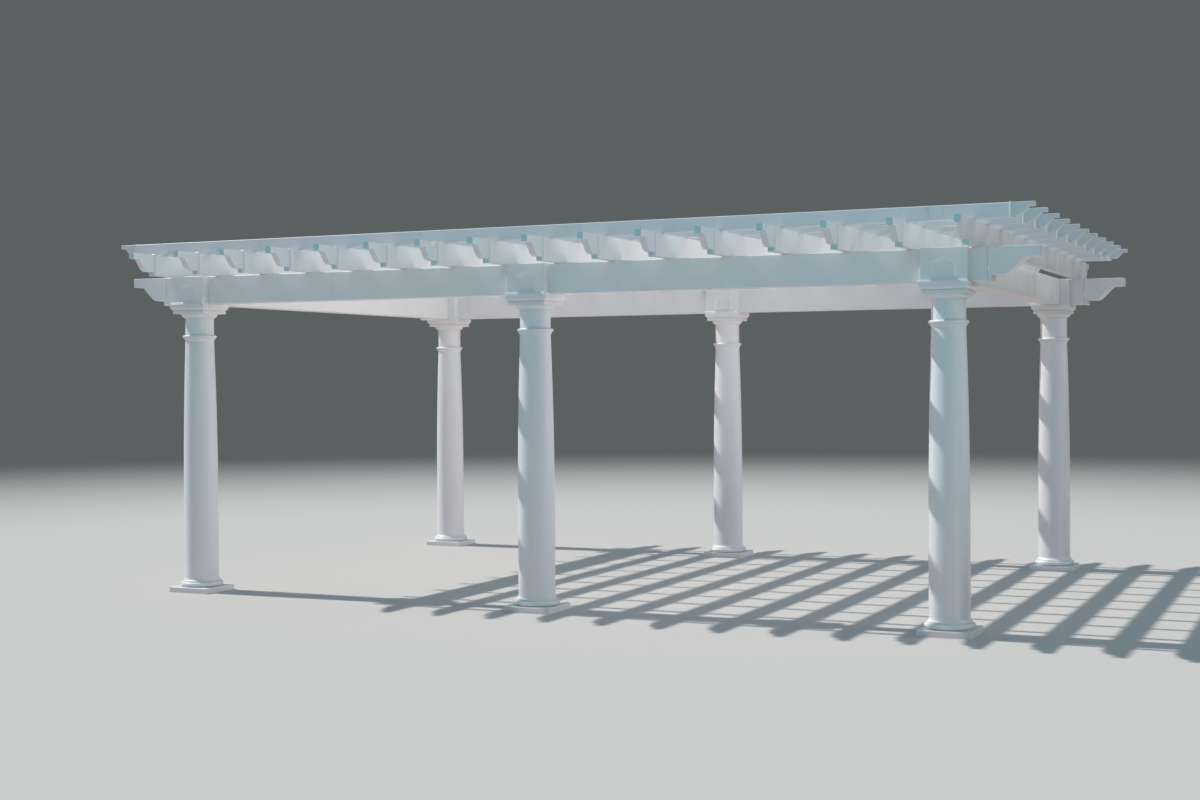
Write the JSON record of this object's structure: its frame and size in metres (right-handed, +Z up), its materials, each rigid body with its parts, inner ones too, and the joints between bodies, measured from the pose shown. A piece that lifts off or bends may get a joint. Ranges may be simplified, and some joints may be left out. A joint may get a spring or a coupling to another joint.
{
  "type": "pergola",
  "caption": "Free-standing white garden pergola on round Tuscan columns, with butted beams, crossing rafters and purlins with ogee ends",
  "frame": {"origin": "at floor level, under the middle of the plan", "axes": "+X along the long side to the right, +Y from the front row of columns to the back row, +Z up"},
  "size_m": [7.724, 5.54, 2.973],
  "materials": {
    "column": "satin white paint on moulded fibreglass",
    "block": "satin white moulded trim",
    "beam": "satin white vinyl",
    "rafter": "satin white vinyl",
    "purlin": "satin white vinyl",
    "end_cap": "satin white moulded vinyl"
  },
  "bodies": {
    "root": {"column_shaft_front_left": "column", "column_shaft_front_middle": "column", "column_shaft_front_right": "column", "column_shaft_back_left": "column", "column_shaft_back_middle": "column", "column_shaft_back_right": "column", "column_bases": "column", "column_capitals": "column", "column_blocks": "block", "front_beams": "beam", "back_beams": "beam", "side_beam_left": "beam", "side_beam_right": "beam", "beam_tails": "beam", "rafter_01": "rafter", "rafter_02": "rafter", "rafter_03": "rafter", "rafter_04": "rafter", "rafter_05": "rafter", "rafter_06": "rafter", "rafter_07": "rafter", "rafter_08": "rafter", "rafter_09": "rafter", "rafter_10": "rafter", "rafter_11": "rafter", "rafter_12": "rafter", "rafter_13": "rafter", "rafter_14": "rafter", "rafter_15": "rafter", "rafter_16": "rafter", "rafter_caps_front": "end_cap", "rafter_caps_back": "end_cap", "purlin_01": "purlin", "purlin_02": "purlin", "purlin_03": "purlin", "purlin_04": "purlin", "purlin_05": "purlin", "purlin_06": "purlin", "purlin_07": "purlin", "purlin_08": "purlin", "purlin_09": "purlin", "purlin_10": "purlin", "purlin_11": "purlin", "purlin_caps_left": "end_cap", "purlin_caps_right": "end_cap"}
  },
  "joints": []
}
